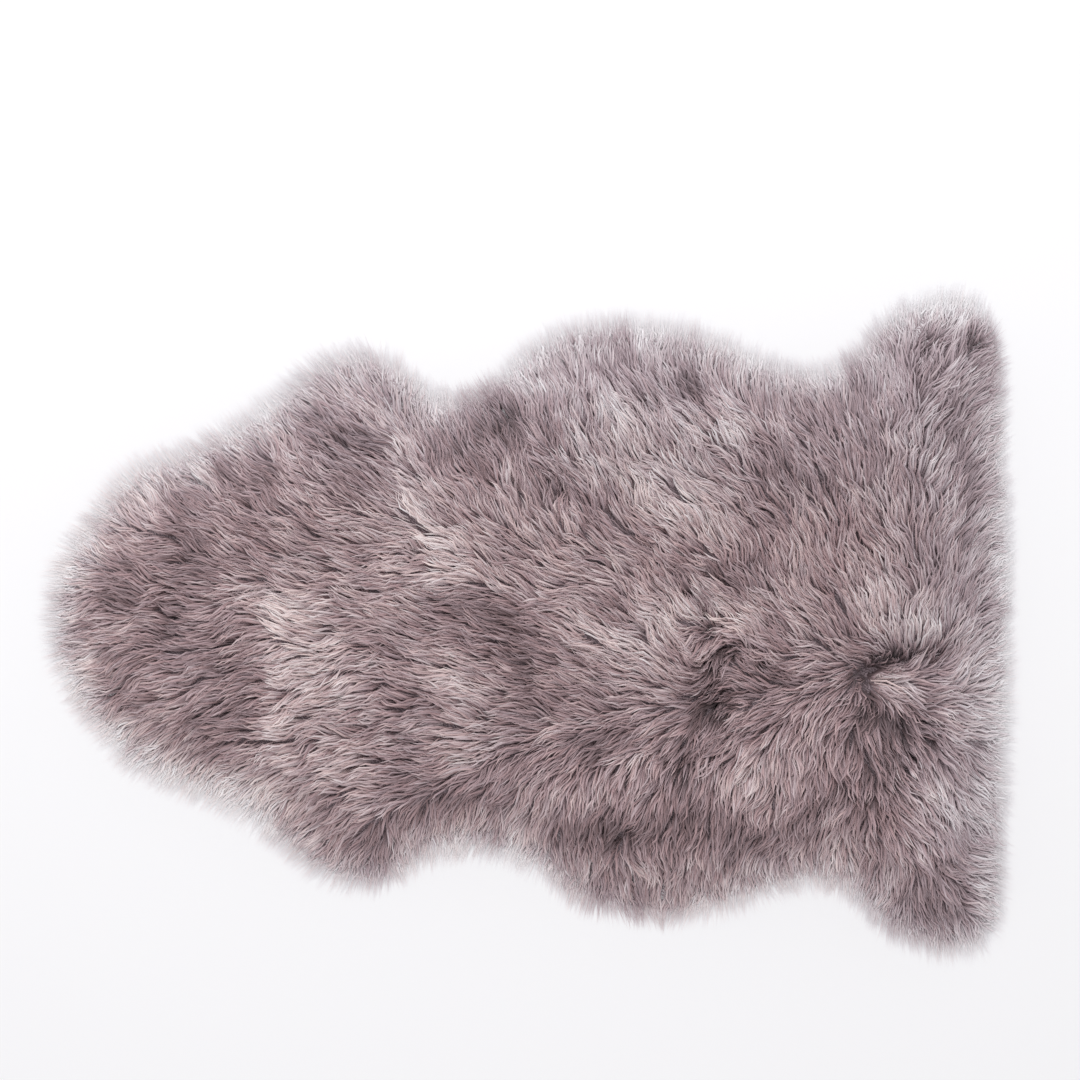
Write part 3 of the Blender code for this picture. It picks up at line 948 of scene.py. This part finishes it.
def sown_wisps(board, value):
    """Points sown on the underwool, each with what its wisp needs as attributes."""
    ground, seed = value("Underwool"), value("Seed")

    def chance(low, high, offset):
        return chance_between(board, low, high, seed, offset)

    start = board.get("GeometryNodeInputPosition")
    clump, clump_chance = gathering(board, start, value("Clump size"))
    lock, lock_chance = gathering(board, start, value("Lock size"))
    edge = attribute(board, "edge")
    calm = 1.0 - edge * 0.5
    wander = value("Wander")
    lock_turn = value("Lock turn") * calm * (lock_chance[0] * 2.0 - 1.0)
    clump_turn = lock_turn + wander * calm * (clump_chance[0] * 2.0 - 1.0)
    turn = clump_turn + wander * chance(-1.0, 1.0, 2)
    reach = chance(value("Shortest"), value("Longest"), 1)
    step = reach * value("Length") * attribute(board, "grow") / 3.0
    rise = value("Rise") * chance(0.45, 1.15, 3)
    rise = rise * (clump_chance[1] * 0.5 + 0.75) * (1.0 - edge * 0.25)
    clump_pull = value("Clump pull") * (1.0 - edge * 0.25)
    own = start
    places = [settled(board, ground, own, -ROOT_DEPTH)]
    for k, (part, loss) in enumerate(zip(RISE_SHARES, RIM_LOSSES)):
        own = next_place(board, ground, own, step, turn)
        clump = next_place(board, ground, clump, step, clump_turn)
        lock = next_place(board, ground, lock, step, lock_turn)
        pull = ((k + 1) / 3.0) ** 1.1
        mixed = own + (clump - own) * (clump_pull * pull)
        mixed = mixed + (lock - mixed) * (value("Lock pull") * pull)
        places.append(settled(board, ground, mixed, rise * part * (1.0 - edge * loss)))
    fading = edge * edge * edge
    spread = value("Tone spread") * chance(-1.0, 1.0, 4)
    spread = spread + (clump_chance[2] - 0.5) * value("Tone spread") * 0.8
    spread = spread + (lock_chance[2] - 0.5) * value("Lock tone") * (1.0 - fading * 0.8)
    tip_tone = ground_value(board, ground, "tone", places[3]) + spread + value("Lighter tip")
    girth = value("Width") * 0.5 * (1.0 - edge * value("Finer edge"))
    stored = {
        "half": girth * chance(0.55, 1.25, 5),
        # Painted shade at the roots, stronger in some clumps, gone at the rim.
        "dim": value("Root shade") * (clump_chance[2] * 1.6 + 0.2) * (1.0 - fading),
        "hairs": attribute(board, "warm") * 0.5 + chance(0.03, 0.47, 8),
        "root_tone": attribute(board, "tone") + spread,
        "tip_tone": tip_tone + fading * 0.06,
        "sway": value("Wave") * chance(0.3, 1.2, 6),
        "phase": lock_chance[1] + chance(0.0, 0.3, 7),
    }
    density = value("Wisps per square metre") * attribute(board, "sow")
    sown = board.get(
        "GeometryNodeDistributePointsOnFaces",
        {"distribute_method": "RANDOM"},
        {"Mesh": ground, "Density": density, "Seed": seed},
        "Points",
    )
    for k, place in enumerate(places):
        sown = with_attribute(board, sown, f"place{k}", place, "FLOAT_VECTOR")
    for name, what in stored.items():
        sown = with_attribute(board, sown, name, what)
    return sown


def with_attribute(board, geometry, name, what, kind="FLOAT", domain="POINT"):
    settings = {"data_type": kind, "domain": domain}
    values = {"Geometry": geometry, "Name": name, "Value": what}
    return board.get("GeometryNodeStoreNamedAttribute", settings, values)


def wisp_tree():
    """Node tree that sows wisps on the underwool and lays them along the comb."""
    tree, board, given = new_tree()

    def value(name):
        return Term(board, given.outputs[name])

    wisp = board.get("GeometryNodeObjectInfo", None, {"Object": value("Wisp")}, "Geometry")
    values = {"Points": sown_wisps(board, value), "Instance": wisp}
    placed = board.get("GeometryNodeInstanceOnPoints", None, values)
    loose = board.get("GeometryNodeRealizeInstances", None, {"Geometry": placed})
    t, across, crest, phase = (
        attribute(board, name) for name in ("along", "across", "crest", "phase")
    )
    p0, p1, p2, p3 = (attribute(board, f"place{k}", "FLOAT_VECTOR") for k in range(4))
    back = 1.0 - t
    spine = p0 * (back * back * back) + p1 * (back * back * t * 3.0)
    spine = spine + p2 * (back * t * t * 3.0) + p3 * (t * t * t)
    run = (p1 - p0) * (back * back) + (p2 - p1) * (back * t * 2.0) + (p3 - p2) * (t * t)
    side = board.cross(run, (0.0, 0.0, 1.0))
    upward = board.cross(side, run)
    half = attribute(board, "half") * attribute(board, "girth")
    sine = board.maths("SINE", (t * 1.15 + phase) * (2.0 * math.pi))
    bend = attribute(board, "sway") * sine * board.smooth(t, 0.0, 0.4)
    x, y, z = board.split(spine + side * (across * half + bend) + upward * (crest * half))
    corner = board.join(x, y, board.maths("MAXIMUM", z, LEAST_HEIGHT))
    laid = board.get("GeometryNodeSetPosition", None, {"Geometry": loose, "Position": corner})
    root_tone, tip_tone = attribute(board, "root_tone"), attribute(board, "tip_tone")
    # Painted shade, darkest at the root.
    dim = (1.0 - board.smooth(t, 0.0, 0.6)) * attribute(board, "dim")
    shade = board.clamp(root_tone + (tip_tone - root_tone) * t - dim, 0.01, 0.95)
    shade = shade + t * 0.03 + crest * 0.008
    chart = board.join(attribute(board, "hairs") + across * 0.010, shade, 0.0)
    mapped = with_attribute(board, laid, MAP_NAME, chart, "FLOAT2", "CORNER")
    values = {"Geometry": mapped, "Material": value("Finish")}
    finished = board.get("GeometryNodeSetMaterial", None, values)
    board.node("NodeGroupOutput", None, {"Wisps": finished})
    return tree


def set_layer(mesh, name, kind, values):
    layer = mesh.attributes.get(name) or mesh.attributes.new(name, kind, "POINT")
    field = "vector" if kind == "FLOAT_VECTOR" else "value"
    layer.data.foreach_set(field, np.asarray(values, float).ravel())


def layer_values(mesh, name):
    values = np.zeros(len(mesh.vertices))
    mesh.attributes[name].data.foreach_get("value", values)
    return values


def corner_places(mesh):
    places = np.zeros(len(mesh.vertices) * 3)
    mesh.vertices.foreach_get("co", places)
    return places.reshape(-1, 3)


def sown_area(mesh, sow):
    """Area of a mesh that is sown, counting each corner's share."""
    mesh.calc_loop_triangles()
    triangles = mesh.loop_triangles
    return sum(each.area * sum(sow[i] for i in each.vertices) / 3.0 for each in triangles)


def grow_wisps(name, ground, sow, count, inputs, finish, rings=WISP_RINGS):
    """Sow a piece's wisps on the underwool's top, and keep them as a plain mesh."""
    set_layer(ground.data, "sow", "FLOAT", sow)
    tree = bpy.data.node_groups.get("Combed wisps") or wisp_tree()
    shape = wisp_shape(rings)
    modifier = ground.modifiers.new("wisps", "NODES")
    modifier.node_group = tree
    given = dict(inputs, Wisp=shape, Finish=finish)
    given["Wisps per square metre"] = count / sown_area(ground.data, sow)
    for item in tree.interface.items_tree:
        if item.in_out == "INPUT" and item.name in given:
            modifier[item.identifier] = given[item.name]
    ground.update_tag()
    bpy.context.view_layer.update()
    evaluated = ground.evaluated_get(bpy.context.evaluated_depsgraph_get())
    mesh = bpy.data.meshes.new_from_object(evaluated)
    ground.modifiers.remove(modifier)
    bpy.data.objects.remove(shape)
    mesh.name = name
    for layer in list(mesh.attributes):
        if layer.domain == "POINT" and not layer.is_required and layer.name != MAP_NAME:
            mesh.attributes.remove(layer)
    mesh.uv_layers.active = mesh.uv_layers[MAP_NAME]
    mesh.uv_layers[MAP_NAME].active_render = True
    mesh.calc_loop_triangles()
    if not 0 < len(mesh.loop_triangles) < MOST_TRIANGLES:
        raise RuntimeError(f"{name} has {len(mesh.loop_triangles)} triangles")
    piece = new_piece(name, mesh)
    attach(piece, "root")
    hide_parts("pelt")


def underwool_net(wool, spacing):
    """Places, faces, gaps to the rim and the nearest places on it, for the underwool's top."""
    rim = even_points(rim_curve(), RIM_SPACING)
    ring = even_points(inset(rim, wool.underwool_inset), RIM_SPACING)
    points, faces = filled_outline(ring, spacing)
    return points, faces, *nearest_on_line(points, rim)


def underwool_heights(wool, points, gaps):
    """Height of the underwool's top, low at its edge and hollow in the partings."""
    crown = eased(share(gaps, wool.underwool_inset, 0.050))
    heights = (solid_heights(points) - wool.underwool_depth) * crown
    heights += wool.underwool_edge * (1.0 - crown)
    heights += swells(points, HEIGHT_SWELLS) * crown - sinking(points)
    return np.maximum(heights, 0.003)


def ground_of(scene):
    """The hidden net that wisps are sown on, made once."""
    ground = bpy.data.objects.get("sown_ground")
    if ground:
        return ground
    wool = scene.rug_wool
    points, faces, gaps, nearest = underwool_net(wool, wool.comb_net)
    heights = underwool_heights(wool, points, gaps)
    out = (nearest - points) / np.maximum(gaps, 1e-4)[:, None]
    edge = eased(1.0 - share(gaps, EDGE_START, EDGE_SPAN))
    outermost = share(-gaps, -0.026, 0.010)
    lean = combed_ways(points, edge) + out * (edge * 0.7 + outermost * 0.4)[:, None]
    lean = unit_rows(lean)
    neck = share(-points[:, 0], 0.02, 0.10)
    hang = 1.0 + (0.12 + 0.26 * neck) * np.maximum(out[:, 1], 0.0)
    hang -= 0.35 * np.maximum(out[:, 0], 0.0) ** 2
    ahead = [sinking(points + lean * (wool.length * part)) for part in (0.35, 0.75)]
    cut = 0.55 * np.minimum(np.maximum(*ahead) / FULL_PARTING, 1.0)
    mesh = bpy.data.meshes.new("sown_ground")
    mesh.from_pydata(np.column_stack((points, heights)).tolist(), [], faces)
    set_layer(mesh, "comb", "FLOAT_VECTOR", np.column_stack((lean, np.zeros(len(points)))))
    layers = {
        "edge": edge,
        "gap": gaps,
        "tone": tones(points, gaps),
        "warm": warmths(points, gaps),
        "hang": hang * wool.rim_overhang,
        "grow": np.clip((gaps + 0.003) / 0.046, 0.30, 1.0) * (1.0 - cut),
    }
    for name, values in layers.items():
        set_layer(mesh, name, "FLOAT", values)
    return new_piece("sown_ground", mesh)


# Settings.


def length_setting(name, text, low, default):
    return bpy.props.FloatProperty(
        name=name, description=text, subtype="DISTANCE", unit="LENGTH", min=low, default=default
    )


def share_setting(name, text, default):
    return bpy.props.FloatProperty(
        name=name, description=text, subtype="FACTOR", min=0.0, max=1.0, default=default
    )


def count_setting(name, text, default):
    return bpy.props.IntProperty(name=name, description=text, min=100, default=default)


def color_setting(name, text, default):
    return bpy.props.FloatVectorProperty(
        name=name, description=text, subtype="COLOR", min=0.0, max=1.0, default=default
    )


class StageSettings(bpy.types.PropertyGroup):
    floor_color: color_setting(
        "Floor color", "Color of the plain floor under the rug", (0.905, 0.898, 0.918)
    )
    sky_strength: bpy.props.FloatProperty(
        name="Even light",
        description="Strength of the light from all round",
        min=0.0,
        default=0.79,
    )
    lamp_power: bpy.props.FloatProperty(
        name="Lamp power",
        description="Power of the large soft lamp",
        subtype="POWER",
        unit="POWER",
        min=0.0,
        default=34.5,
    )
    camera_height: length_setting(
        "Camera height", "Height of the camera over the floor", 0.5, 2.2
    )
    picture_width: length_setting(
        "Picture width", "Width of what the camera sees at the rug", 0.2, 1.08
    )


class HideSettings(bpy.types.PropertyGroup):
    inset: length_setting(
        "Inset", "How far the hide's cut edge lies in from the wool's tips", 0.010, 0.022
    )
    thickness: length_setting("Thickness", "Thickness of the tanned hide", 0.0008, 0.0018)
    net: length_setting("Net", "Size of the hide's triangles", 0.005, 0.014)


class WoolSettings(bpy.types.PropertyGroup):
    underwool_inset: length_setting(
        "Underwool inset", "How far the dense underwool ends in from the wool's tips", 0.010, 0.016
    )
    underwool_depth: length_setting(
        "Underwool depth", "How far the dense underwool lies below the top of the wool", 0.0, 0.012
    )
    underwool_edge: length_setting(
        "Underwool edge", "Height of the underwool at its edge", 0.003, 0.0034
    )
    underwool_net: length_setting(
        "Underwool net", "Size of the underwool's triangles", 0.004, 0.0090
    )
    comb_net: length_setting(
        "Comb net", "Size of the net that says how the wool is combed", 0.003, 0.0045
    )
    count: count_setting("Wisps a piece", "Wisps in each piece of combed wool", 11800)
    rim_count: count_setting("Rim wisps", "Fine wisps at the rim", 19000)
    length: length_setting("Wisp length", "Length of a wisp", 0.005, 0.033)
    width: length_setting("Wisp width", "Width of a wisp at its thickest", 0.0003, 0.0021)
    rise: length_setting(
        "Wisp rise", "Height of the wisps' tips over the underwool", 0.001, 0.013
    )
    clump_size: length_setting(
        "Clump size", "Size of the clumps that wisps gather in", 0.002, 0.0080
    )
    clump_pull: share_setting(
        "Clump pull", "How far wisps gather towards the middle of their clump", 0.55
    )
    lock_size: length_setting("Lock size", "Size of the locks that clumps gather in", 0.004, 0.022)
    lock_pull: share_setting(
        "Lock pull", "How far wisps gather towards the middle of their lock", 0.25
    )
    wave: length_setting("Wave", "How far a wisp waves to each side", 0.0, 0.0019)
    wander: bpy.props.FloatProperty(
        name="Wander",
        description="How far wisps stray from the way they are combed",
        subtype="ANGLE",
        unit="ROTATION",
        min=0.0,
        default=0.25,
    )
    rim_width: length_setting(
        "Rim wisp width", "Width of the fine wisps at the rim", 0.0003, 0.00050
    )
    rim_overhang: length_setting(
        "Rim overhang", "How far the longest wisps reach past the outline", 0.0, 0.021
    )
    rim_length: length_setting(
        "Rim wisp length", "Length of the fine wisps at the rim", 0.010, 0.060
    )


class ColorSettings(bpy.types.PropertyGroup):
    # The darkest color is painted shade, deep between the wisps and at their roots.
    deep: color_setting("Deep", "Color deep between the wisps", (0.080, 0.061, 0.067))
    dark: color_setting("Dark", "Color of the darker wisps", (0.184, 0.137, 0.152))
    middle: color_setting("Middle", "Color of most wisps", (0.434, 0.341, 0.375))
    light: color_setting("Light", "Color of the lighter wisps", (0.655, 0.582, 0.614))
    tip: color_setting("Tip", "Color of the lightest tips", (0.855, 0.825, 0.852))
    rim: color_setting("Rim", "Color of the wool at the rim", (0.955, 0.945, 0.965))
    tint: color_setting("Tint", "Cast of the warmer wisps", (1.0, 0.850, 0.805))
    hide: color_setting("Hide", "Color of the suede", (0.56, 0.47, 0.39))
    hide_dark: color_setting(
        "Hide shade", "Color of the suede where it is rubbed the other way", (0.40, 0.32, 0.26)
    )


# Steps.


class RUG_OT_lay_stage(bpy.types.Operator):
    """Lay the plain floor, and set the lamp and the camera over it"""

    bl_idname = "rug.lay_stage"
    bl_label = "Stage"

    def execute(self, context):
        scene, settings = context.scene, context.scene.rug_stage
        signs = ((-1, -1), (1, -1), (1, 1), (-1, 1))
        corners = [(x * FLOOR_REACH, y * FLOOR_REACH, 0.0) for x, y in signs]
        mesh = bpy.data.meshes.new("floor")
        mesh.from_pydata(corners, [], [(0, 1, 2, 3)])
        mesh.materials.append(floor_material(settings.floor_color))
        new_piece("floor", mesh)
        scene.world = bpy.data.worlds.new("studio")
        scene.world.use_nodes = True
        scene.world.node_tree.nodes.clear()
        board = Board(scene.world.node_tree)
        values = {"Color": (1.0, 1.0, 1.0, 1.0), "Strength": settings.sky_strength}
        light = board.get("ShaderNodeBackground", None, values)
        board.node("ShaderNodeOutputWorld", None, {"Surface": light})
        lamp_data = bpy.data.lights.new("soft lamp", "AREA")
        lamp_data.shape = "SQUARE"
        lamp_data.size = LAMP_SIZE
        lamp_data.energy = settings.lamp_power
        lamp = new_piece("soft lamp", lamp_data)
        lamp.location = LAMP_PLACE
        lamp.rotation_euler = Vector(LAMP_PLACE).to_track_quat("Z", "Y").to_euler()
        camera_data = bpy.data.cameras.new("camera")
        camera_data.sensor_width = SENSOR_WIDTH
        distance = settings.camera_height - HEIGHT_IN_VIEW
        camera_data.lens = SENSOR_WIDTH * distance / settings.picture_width
        camera = new_piece("camera", camera_data)
        camera.location = (*CAMERA_OVER, settings.camera_height)
        scene.camera = camera
        scene.view_settings.view_transform = "Standard"
        return {"FINISHED"}


class RUG_OT_cut_hide(bpy.types.Operator):
    """Cut the tanned hide and lay it on the floor, suede side down"""

    bl_idname = "rug.cut_hide"
    bl_label = "Hide"

    def execute(self, context):
        settings = context.scene.rug_hide
        rim = even_points(rim_curve(), RIM_SPACING)
        ring = even_points(inset(rim, settings.inset), HIDE_SPACING)
        points, faces = filled_outline(ring, settings.net)
        lows = 0.0002 + 0.0001 * (1.0 + soft_noise(points, 0.05, 4))
        hide = closed_slab("hide", points, faces, lows + settings.thickness, lows)
        hide.data.materials.append(suede_material(context.scene.rug_colors))
        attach(hide, "root")
        return {"FINISHED"}


class RUG_OT_grow_underwool(bpy.types.Operator):
    """Grow the dense underwool on the hide"""

    bl_idname = "rug.grow_underwool"
    bl_label = "Underwool"

    def execute(self, context):
        wool = context.scene.rug_wool
        points, faces, gaps, _ = underwool_net(wool, wool.underwool_net)
        tops = underwool_heights(wool, points, gaps) - UNDERWOOL_GAP
        lows = np.full(len(points), UNDERWOOL_BASE)
        underwool = closed_slab("underwool", points, faces, tops, lows)
        underwool.data.materials.append(underwool_material(context.scene.rug_colors))
        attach(underwool, "root")
        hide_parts("pelt")
        return {"FINISHED"}


def wool_inputs(wool, seed):
    """The tree's inputs that the settings give, by the inputs' names."""
    sizes = ("length", "width", "rise", "clump_size", "lock_size", "wave")
    names = (*sizes, "clump_pull", "lock_pull", "wander")
    inputs = {name.capitalize().replace("_", " "): getattr(wool, name) for name in names}
    return {**inputs, "Seed": seed}


class RUG_OT_comb_wool(bpy.types.Operator):
    """Grow the long combed wool of the neck, shoulders, flanks and hind end"""

    bl_idname = "rug.comb_wool"
    bl_label = "Combed wool"

    def execute(self, context):
        ground = ground_of(context.scene)
        wool = context.scene.rug_wool
        along = corner_places(ground.data)[:, 0]
        cuts = np.quantile(along, (0.0, 0.25, 0.5, 0.75, 1.0))
        finish = combed_wool_material(context.scene.rug_colors)
        for k, name in enumerate(BODY_PIECES):
            last = k == len(BODY_PIECES) - 1
            sow = ((along >= cuts[k]) & ((along < cuts[k + 1]) | last)).astype(float)
            inputs = wool_inputs(wool, SEED + 10 * k)
            grow_wisps(name, ground, sow, wool.count, inputs, finish)
        return {"FINISHED"}


class RUG_OT_comb_rim(bpy.types.Operator):
    """Grow the fine pale wisps that stand out past the hide all round"""

    bl_idname = "rug.comb_rim"
    bl_label = "Rim wool"

    def execute(self, context):
        ground = ground_of(context.scene)
        wool = context.scene.rug_wool
        gaps, hang = (layer_values(ground.data, name) for name in ("gap", "hang"))
        sow = 1.0 - share(gaps, wool.underwool_inset, 0.016)
        set_layer(ground.data, "grow", "FLOAT", (gaps + hang) / wool.rim_length)
        inputs = {**wool_inputs(wool, SEED + 90), **RIM_WISPS}
        inputs.update(Width=wool.rim_width, Length=wool.rim_length)
        finish = bpy.data.materials["combed wool"]
        grow_wisps("rim_wool", ground, sow, wool.rim_count, inputs, finish, HAIR_RINGS)
        return {"FINISHED"}


class RUG_OT_lay_hide(bpy.types.Operator):
    """Clear the sown net away"""

    bl_idname = "rug.lay_hide"
    bl_label = "Lay the hide"

    def execute(self, context):
        hide = bpy.data.objects["hide"]
        hide.data.calc_loop_triangles()
        places = corner_places(hide.data)
        bpy.data.objects.remove(bpy.data.objects["sown_ground"])
        return {"FINISHED"}


OPERATORS = (
    RUG_OT_lay_stage,
    RUG_OT_cut_hide,
    RUG_OT_grow_underwool,
    RUG_OT_comb_wool,
    RUG_OT_comb_rim,
    RUG_OT_lay_hide,
)
GROUPS = {
    "rug_stage": StageSettings,
    "rug_hide": HideSettings,
    "rug_wool": WoolSettings,
    "rug_colors": ColorSettings,
}


class RUG_PT_sheepskin(bpy.types.Panel):
    """Sizes, colors and steps of the sheepskin rug"""

    bl_idname = "RUG_PT_sheepskin"
    bl_label = "Sheepskin rug"
    bl_space_type = "VIEW_3D"
    bl_region_type = "UI"
    bl_category = "Rug"

    def draw(self, context):
        for place in GROUPS:
            group = getattr(context.scene, place)
            box = self.layout.box()
            for name in group.bl_rna.properties.keys():
                if name not in ("rna_type", "name"):
                    box.prop(group, name)
        for operator in OPERATORS:
            self.layout.operator(operator.bl_idname)


CLASSES = (*GROUPS.values(), *OPERATORS, RUG_PT_sheepskin)


def register():
    for kind in CLASSES:
        bpy.utils.register_class(kind)
    for place, kind in GROUPS.items():
        setattr(bpy.types.Scene, place, bpy.props.PointerProperty(type=kind))


def unregister():
    for place in GROUPS:
        delattr(bpy.types.Scene, place)
    for kind in reversed(CLASSES):
        bpy.utils.unregister_class(kind)


def main():
    register()
    bpy.ops.rug.lay_stage()
    bpy.ops.rug.cut_hide()
    bpy.ops.rug.grow_underwool()
    bpy.ops.rug.comb_wool()
    bpy.ops.rug.comb_rim()
    bpy.ops.rug.lay_hide()


if __name__ == "__main__":
    main()
